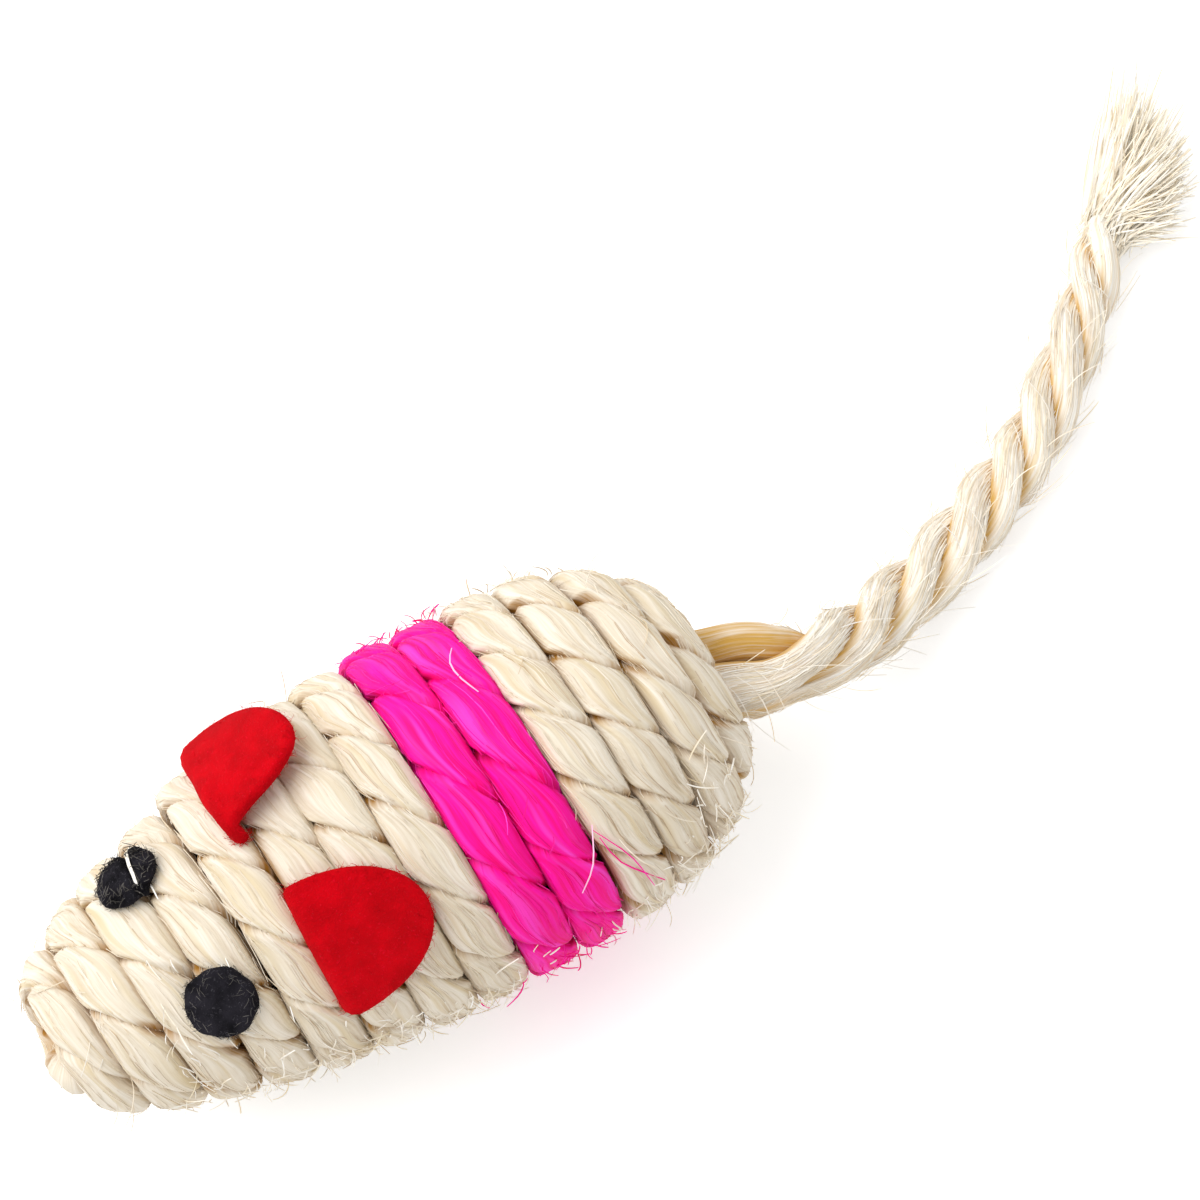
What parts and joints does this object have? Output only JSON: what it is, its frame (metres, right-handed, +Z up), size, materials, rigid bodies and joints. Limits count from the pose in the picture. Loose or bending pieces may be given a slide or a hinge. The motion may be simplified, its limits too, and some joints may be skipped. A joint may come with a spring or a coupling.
{
  "type": "sisal mouse toy",
  "caption": "Oval mouse toy wound with twine turn by turn, with a dyed band, felt ears that lift, felt eyes and a tail of laid strands that swings and ends in a brush.",
  "frame": {"origin": "on the resting plane, under the middle of the dyed band, where its middle crossing of the belly is pressed flat", "axes": "+X along the body from the nose to the tail, +Z up from the resting plane, +Y to the mouse's right side"},
  "size_m": [0.1444, 0.0563, 0.0359],
  "materials": {
    "natural_twine": "matt natural sisal fibre",
    "dyed_twine": "matt bright pink sisal fibre",
    "red_felt": "matt red felt",
    "black_felt": "matt black felt",
    "paper_core": "pressed paper pulp"
  },
  "bodies": {
    "mouse": {"core": "paper_core", "front_winding": "natural_twine", "pink_band": "dyed_twine", "rear_winding": "natural_twine", "tail_root": "natural_twine", "eye_left": "black_felt", "eye_right": "black_felt"},
    "tail": {"tail": "natural_twine", "tail_tuft": "natural_twine"},
    "left_flap": {"ear_left": "red_felt"},
    "right_flap": {"ear_right": "red_felt"}
  },
  "joints": [
    {"name": "tail_swing", "type": "hinge", "parent": "mouse", "child": "tail", "pos_m": [0.0252, 0, 0.0167], "axis": [0, 0, 1], "range_deg": [-35, 35], "stiffness_Nm_per_rad": 0.002},
    {"name": "ear_left_lift", "type": "hinge", "parent": "mouse", "child": "left_flap", "pos_m": [-0.02087, -0.00877, 0.0313], "axis": [0, -0.8572, -0.515], "range_deg": [0, 70], "stiffness_Nm_per_rad": 0.00013},
    {"name": "ear_right_lift", "type": "hinge", "parent": "mouse", "child": "right_flap", "pos_m": [-0.0209, 0.00972, 0.03111], "axis": [-0.0087, -0.7718, 0.6357], "range_deg": [-8, 60], "stiffness_Nm_per_rad": 0.00013}
  ]
}
